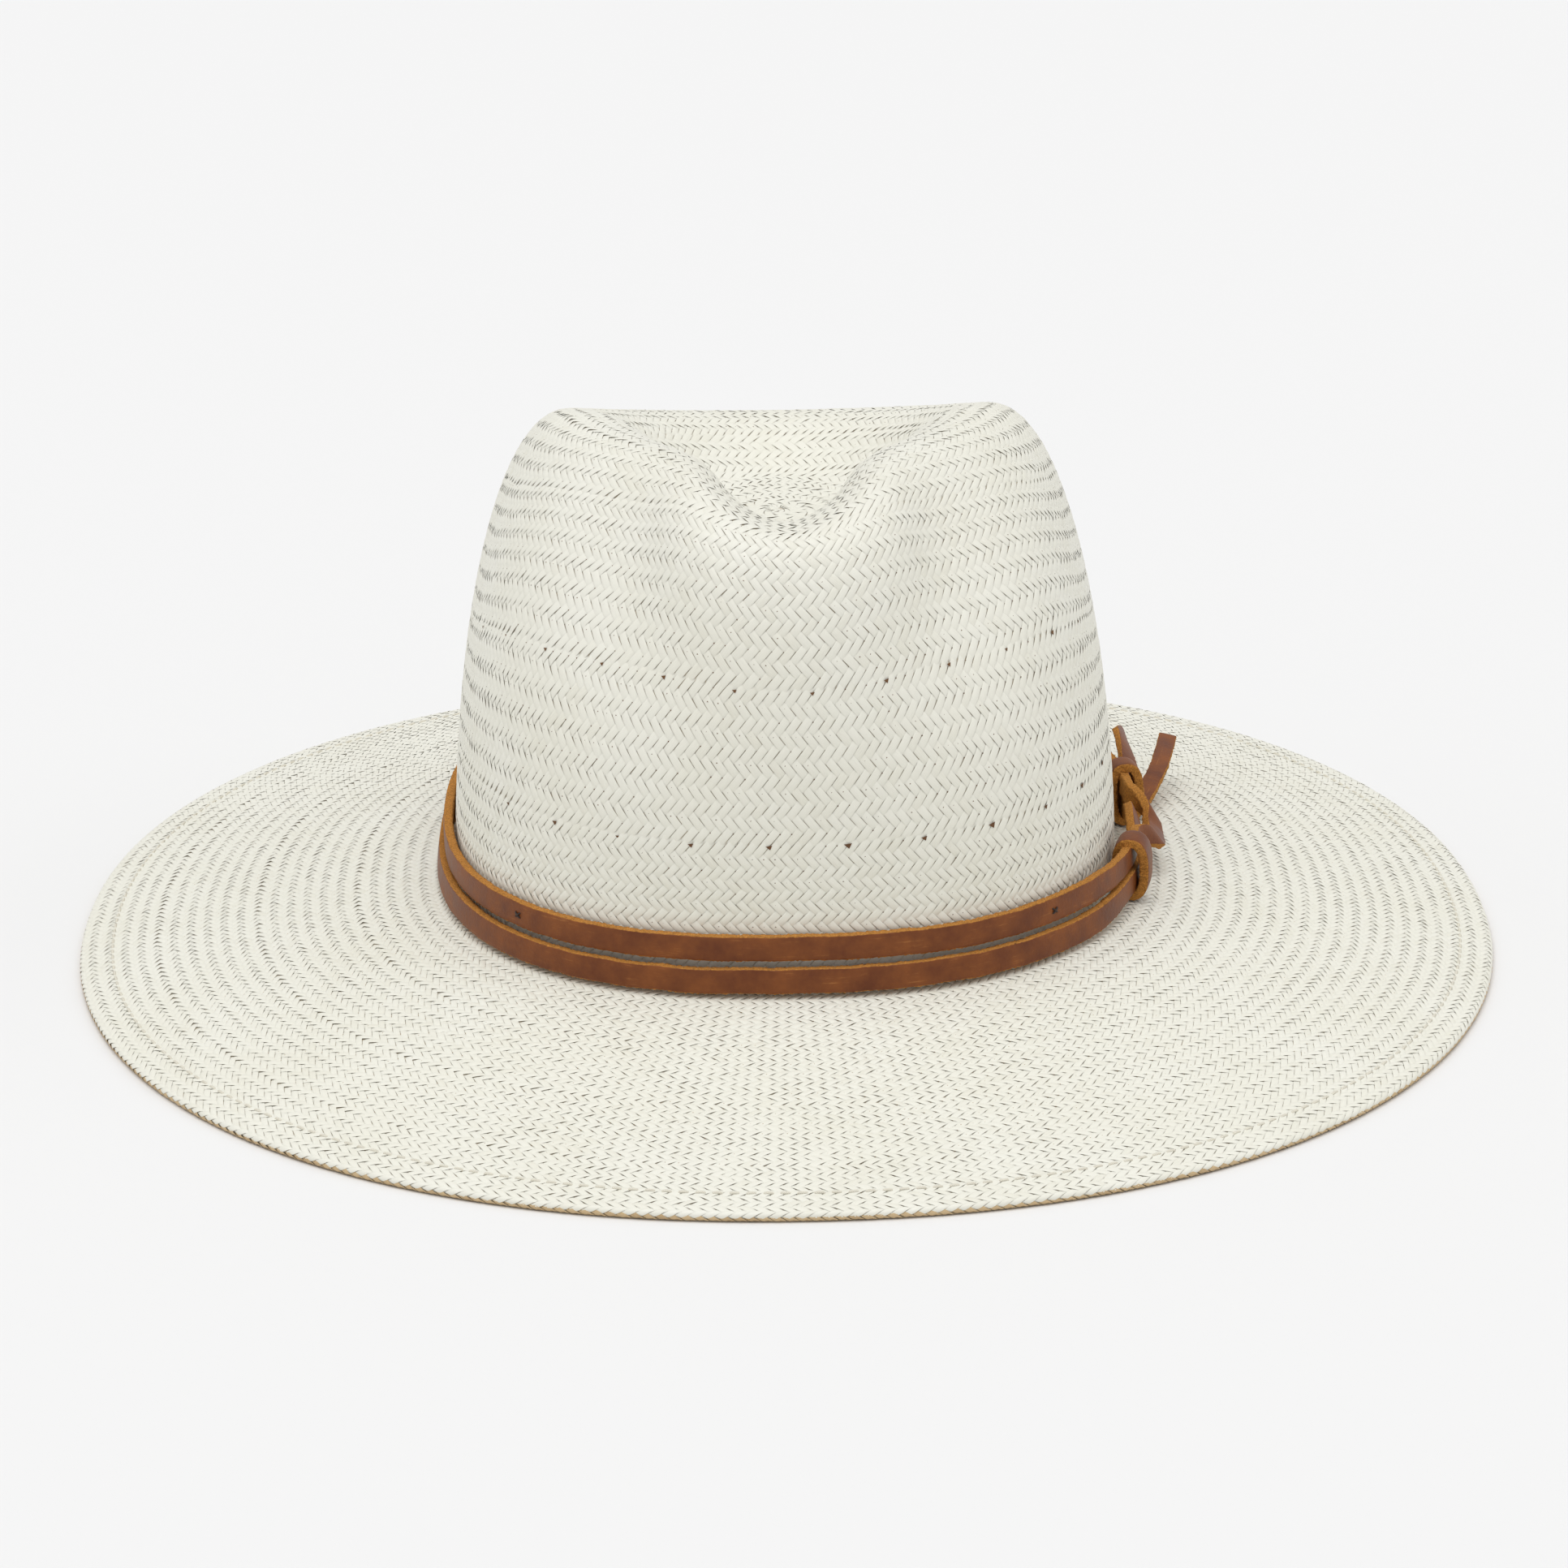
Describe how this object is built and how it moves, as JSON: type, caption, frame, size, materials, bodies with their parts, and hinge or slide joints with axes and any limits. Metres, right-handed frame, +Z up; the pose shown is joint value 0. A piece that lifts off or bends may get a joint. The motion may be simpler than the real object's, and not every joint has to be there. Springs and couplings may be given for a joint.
{
  "type": "panama hat",
  "caption": "Wide-brimmed woven straw hat with a pinched teardrop crown, a folded stitched edge, a leather sweatband and a double leather lace hat band with sliding knots.",
  "frame": {"origin": "bottom centre of the hat's bounding box, on the surface that the brim's edge rests on", "axes": "+Z up through the crown, -Y out of the front pinch, +Y to the back along the longer side, +X to the side with the lace knots"},
  "size_m": [0.364, 0.397, 0.1382],
  "materials": {
    "straw": "satin bleached straw in a herringbone weave",
    "wire": "thin hard wire inside the fold",
    "cream_thread": "cream sewing thread",
    "sweat_leather": "smooth brown leather",
    "reed": "brown piping",
    "tan_thread": "tan sewing thread",
    "ribbon": "narrow brown grosgrain",
    "label": "plain woven label, blank",
    "lace_leather": "waxed pull-up leather lace with tan raw edges",
    "dark_thread": "dark waxed thread"
  },
  "bodies": {
    "hat": {"straw_body": "straw", "brim_edge_wire": "wire", "brim_stitching": "cream_thread", "sweatband": "sweat_leather", "sweatband_reed": "reed", "sweatband_stitching": "tan_thread", "sweatband_bow": "ribbon", "size_label": "label", "hatband_lower_lap": "lace_leather", "hatband_upper_lap": "lace_leather", "band_tacks": "dark_thread"},
    "front_knot": {"front_keeper": "lace_leather"},
    "rear_knot": {"rear_keeper": "lace_leather"},
    "upper_tail": {"upper_tail": "lace_leather"},
    "lower_tail": {"lower_tail": "lace_leather"}
  },
  "joints": [
    {"name": "front_knot_slide", "type": "slide", "parent": "hat", "child": "front_knot", "axis": [0.2383, 0.9712, 0], "range_m": [-0.004, 0.004]},
    {"name": "rear_knot_slide", "type": "slide", "parent": "hat", "child": "rear_knot", "axis": [-0.1195, 0.9928, 0], "range_m": [-0.004, 0.004]},
    {"name": "upper_tail_lift", "type": "hinge", "parent": "rear_knot", "child": "upper_tail", "pos_m": [0.09317, 0.02472, 0.02503], "axis": [0.9948, 0.1021, 0], "range_deg": [-5, 45], "stiffness_Nm_per_rad": 0.01},
    {"name": "lower_tail_swing", "type": "hinge", "parent": "rear_knot", "child": "lower_tail", "pos_m": [0.09383, 0.02588, 0.0201], "axis": [-0.0293, -0.1082, 0.9937], "range_deg": [-25, 3], "stiffness_Nm_per_rad": 0.01}
  ]
}
